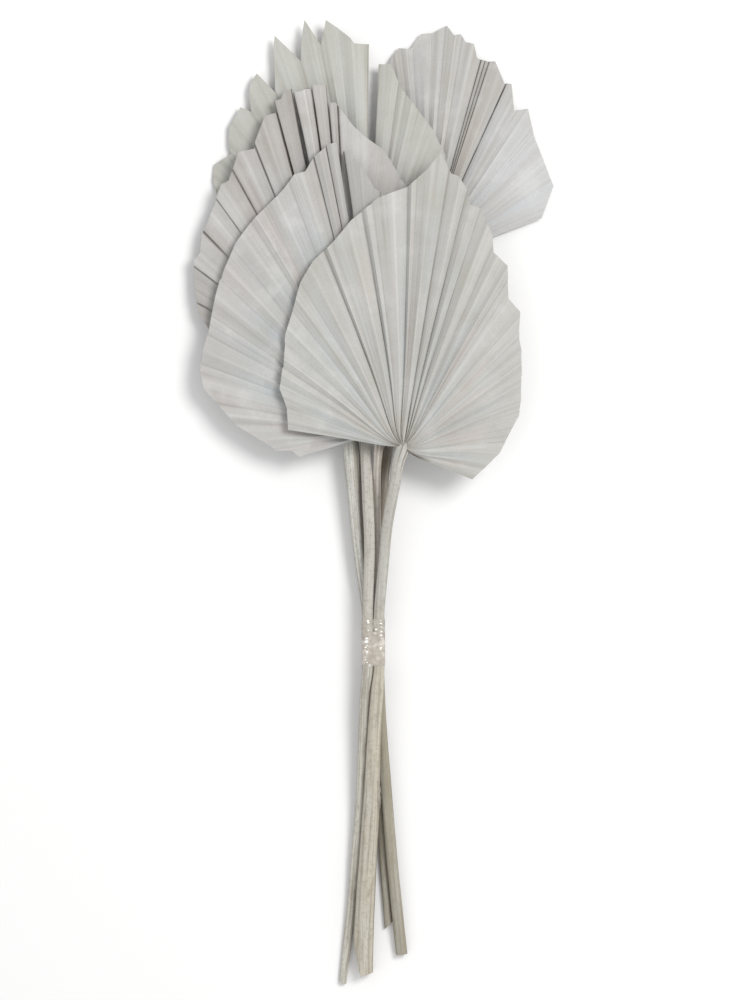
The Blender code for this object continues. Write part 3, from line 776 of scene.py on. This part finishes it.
def makeLeaf(name, leaf, foldTree, stalkTree):
    finish = bladeFinishes[name]
    title = name.split("_")[0] + "Leaf"
    seed = finish["seed"]
    blade = runTree(title + "Blade", foldTree, layFan(title, leaf), {
        "Seed": seed, "Material": paintBlade(title, finish)})
    stem = runTree(title + "Stalk", stalkTree, routeStalk(title, leaf), {
        "Seed": seed, "Material": paintStalk(title, finish)})
    trimEnd(stem, leaf, paintStalk(title, finish, True))
    blade.data.set_sharp_from_angle(angle=radians(50))
    stem.data.set_sharp_from_angle(angle=radians(60))
    parts = [blade, stem]
    if "frays" in leaf:
        parts.append(runTree(title + "Frays", stalkTree, layFrays(leaf), {
            "Spacing": 0.9 * mm, "Fibre": 0.03 * mm, "Channel": 0.0, "Seed": seed,
            "Material": paintStalk(title + "Fray", finish)}))
    whole = joinPieces(title, parts)
    print(title, len(whole.data.polygons), "faces")
    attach(whole, "root")
    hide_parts(name)


# Tape, in millimetres. Rows of white blisters, painted glints, are (x, first and last place down the tape,
# count, scatter).
tape = {"gap": 0.26, "film": 0.06, "turns": 1.2, "seamTurn": 0.2, "columns": 150, "rings": 44, "seed": 5,
        "wrinkle": 0.13, "wrinkles": 9, "wrinkleTurns": (0.5, 2.2), "wrinkleRuns": (-9, 9),
        "wrinkleStarts": (0, 6.28), "edgeWave": 0.5, "overlapFrom": 0.7, "overlapLift": 0.16,
        "bubble": (0.28, 0.85), "glintBlisterShape": (1.5, 1.0, 0.4), "uneven": 0.4,
        "rows": [(-5.4, 0.42, 0.93, 11, 0.7), (-4.3, 0.04, 0.32, 3, 0.4), (4.9, 0.08, 0.74, 9, 0.35),
                 (-1.0, 0.4, 0.5, 3, 1.2), (1.2, 0.26, 0.4, 3, 0.7), (-2.6, 0.94, 1.0, 2, 0.5)]}


def paintFilm():   # clear wrinkled tape, a little yellowed, denser in its lower half and clear at both ends
    material, graph, shader = newPaint("clearFilm", {
        "Coat Roughness": 0.08, "Coat Weight": 0.6, "Roughness": 0.16})
    place = graph.add("ShaderNodeTexCoord", None, None, "Object")
    upward = graph.add("ShaderNodeSeparateXYZ", None, {"Vector": place}, "Y")
    cloudy = graph.noise(place, 240.0, 3.0, 0.6)
    colour = graph.blend(graph.spread(cloudy, 0.35, 0.7), (0.56, 0.50, 0.43, 1.0), (0.72, 0.68, 0.62, 1.0))
    cover = graph.spread(cloudy, 0.35, 0.75, 0.14, 0.4) + graph.spread(upward, -0.098, -0.088, 0.42, 0.0)
    faded = graph.spread(upward, -0.1142, -0.1105) * graph.spread(upward, -0.0825, -0.0792, 1.0, 0.0)
    slanted = graph.add("ShaderNodeMapping", None,
                        {"Vector": place, "Rotation": (0, 0, 0.6), "Scale": (1.0, 0.35, 1.0)})
    creases = graph.noise(slanted, 700.0, 3.0, 0.6)
    feed(shader, graph, {"Base Color": colour, "Alpha": cover * faded,
                         "Normal": graph.bump(creases, 0.7, 0.0006)})
    return material


def wrapTape():   # one turn and a bit of film, drawn straight across the hollows of the bundle
    start, end = stalk["tape"]
    half = stalk["tiedHalfWidth"]
    thick = half * stalk["flattening"]
    middles = [leaf["tied"] for leaf in leaves.values()]
    chance = random.Random(tape["seed"])
    waves = [[chance.uniform(*tape[label]) for label in ("wrinkleTurns", "wrinkleRuns", "wrinkleStarts")]
             for _ in range(tape["wrinkles"])]
    points, faces = [], []
    for column in range(tape["columns"] + 1):
        turn = column / tape["columns"] * tape["turns"]
        angle = 2 * pi * (turn - tape["seamTurn"])
        across, up = cos(angle), sin(angle)
        reach = sqrt((half * across) ** 2 + (thick * up) ** 2)
        x, z = max(middles, key=lambda place: place[0] * across + place[1] * up)
        clear = tape["gap"] + (tape["overlapLift"] if turn > tape["overlapFrom"] else 0.0)
        for ring in range(tape["rings"] + 1):
            share = ring / tape["rings"]
            pucker = sum(sin(across * 3 * turns + share * run + first) for turns, run, first in waves)
            out = clear + tape["wrinkle"] * pucker / len(waves)
            wavy = tape["edgeWave"] * sin(angle * 3 + 1.3) * (2 * share - 1) ** 6
            y = start + (end - start) * share + (wavy if share > 0.5 else -wavy)
            place = Vector((x + half ** 2 * across / reach + out * across, y,
                            z + thick ** 2 * up / reach + out * up))
            points.append((place + bunchOrigin) * mm)
    for column in range(tape["columns"]):
        for ring in range(tape["rings"]):
            low = column * (tape["rings"] + 1) + ring
            faces.append([low, low + 1, low + tape["rings"] + 2, low + tape["rings"] + 1])
    mesh = bpy.data.meshes.new("tieTape")
    mesh.from_pydata(points, [], faces)
    mesh.materials.append(paintFilm())
    mesh.shade_smooth()
    piece = newPiece("tieTape", mesh)
    film = piece.modifiers.new("film", "SOLIDIFY")
    film.thickness = tape["film"] * mm
    film.offset = 1.0
    graph = bpy.context.evaluated_depsgraph_get()
    plain = bpy.data.meshes.new_from_object(piece.evaluated_get(graph))
    piece.modifiers.clear()
    piece.data = plain
    return piece


def makeGlintTree():   # one flat white blister, a painted glint, on every given point, sized by that point
    tree, graph = newGeometryTree("scatterGlints", {"Material": ("Material", None)})
    given = graph.add("NodeGroupInput", None, None, "Geometry")
    size = readNamed(graph, "size")
    wide, long, high = tape["glintBlisterShape"]
    bubble = graph.add("GeometryNodeMeshIcoSphere", None, {"Radius": 1.0, "Subdivisions": 2})
    spots = graph.add("GeometryNodeMeshToPoints", None, {"Mesh": given})
    placed = graph.add("GeometryNodeInstanceOnPoints", None, {
        "Points": spots, "Instance": bubble, "Scale": graph.vector(size * wide, size * long, size * high)})
    whole = graph.add("GeometryNodeRealizeInstances", None, {"Geometry": placed})
    closeGeometryTree(graph, whole, given.out("Material"))
    return tree


def layGlints():   # white blisters as painted glints beside the joint of the stalks and along the outer shoulders
    chance = random.Random(tape["seed"])
    start, end = stalk["tape"]
    half = stalk["tiedHalfWidth"]
    points, sizes = [], []
    for x, first, last, count, scatter in tape["rows"]:
        for spot in range(count):
            share = first + (last - first) * (spot + chance.uniform(-1, 1) * tape["uneven"]) / count
            across = x + chance.uniform(-1, 1) * scatter
            middle, height = min((leaf["tied"] for leaf in leaves.values()),
                                 key=lambda place: abs(place[0] - across) - 0.5 * place[1])
            arch = max(0.0, 1 - ((across - middle) / (half + tape["gap"])) ** 2)
            height += (half * stalk["flattening"] + tape["gap"]) * sqrt(arch) + tape["film"]
            points.append((Vector((across, end + (start - end) * share, height)) + bunchOrigin) * mm)
            sizes.append(chance.uniform(*tape["bubble"]) * mm)
    mesh = bpy.data.meshes.new("glintSpots")
    mesh.from_pydata(points, [], [])
    mesh.attributes.new("size", "FLOAT", "POINT").data.foreach_set("value", sizes)
    return mesh


def makeTape():
    glintPaint, _, _ = newPaint("paintedGlint", {   # white blisters under the tape stand for painted glints
        "Base Color": (0.92, 0.92, 0.90, 1.0), "Roughness": 0.12, "Coat Weight": 0.8})
    glints = runTree("bubbles", makeGlintTree(), layGlints(), {"Material": glintPaint})
    whole = joinPieces("tieTape", [wrapTape(), glints])
    print("tieTape", len(whole.data.polygons), "faces")
    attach(whole, "root")
    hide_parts("tie_tape")


# Stage. The aim is in millimetres, everything else in metres.
stage = {"aim": (1.2, 2.2, 20.0), "distance": 2.2, "frameHeight": 0.6942,
         "floorSize": 8.0, "floorTint": 0.86, "skyStrength": 0.75,
         "key": (0.95, 0.65, 1.62), "keyEnergy": 24.0, "keySize": 0.85,
         "fill": (-1.3, -0.9, 1.6), "fillEnergy": 3.0, "fillSize": 1.4}


def addLight(name, colour):
    data = bpy.data.lights.new(name + "Light", "AREA")
    data.shape = "DISK"
    data.size = stage[name + "Size"]
    data.energy = stage[name + "Energy"]
    data.color = colour
    light = bpy.data.objects.new(name + "Light", data)
    light.location = stage[name]
    light.rotation_euler = (-Vector(stage[name])).to_track_quat("-Z", "Y").to_euler()
    bpy.context.scene.collection.objects.link(light)


def setStage():   # a pale floor, soft light from the right, and a camera looking straight down
    bpy.ops.mesh.primitive_plane_add(size=stage["floorSize"])
    floor = bpy.context.object
    floor.name = "floor"
    tint = stage["floorTint"]
    paint, _, _ = newPaint("paleFloor", {"Base Color": (tint, tint, tint, 1.0), "Roughness": 0.9})
    floor.data.materials.append(paint)
    world = bpy.data.worlds.new("studio")
    world.use_nodes = True
    world.node_tree.nodes["Background"].inputs["Color"].default_value = (1.0, 1.0, 1.0, 1.0)
    world.node_tree.nodes["Background"].inputs["Strength"].default_value = stage["skyStrength"]
    bpy.context.scene.world = world
    addLight("key", (1.0, 0.995, 0.985))
    addLight("fill", (0.98, 0.99, 1.0))
    data = bpy.data.cameras.new("camera")
    data.lens = data.sensor_width * stage["distance"] / stage["frameHeight"]
    camera = bpy.data.objects.new("camera", data)
    camera.location = Vector(stage["aim"]) * mm + Vector((0.0, 0.0, stage["distance"]))
    bpy.context.scene.collection.objects.link(camera)
    bpy.context.scene.camera = camera
    bpy.context.scene.view_settings.view_transform = "Standard"


print("setting the stage")
setStage()
print("growing the leaves")
foldTree = makeFoldTree()
stalkTree = makeStalkTree()
for name, leaf in leaves.items():
    makeLeaf(name, leaf, foldTree, stalkTree)
print("winding the tape")
makeTape()
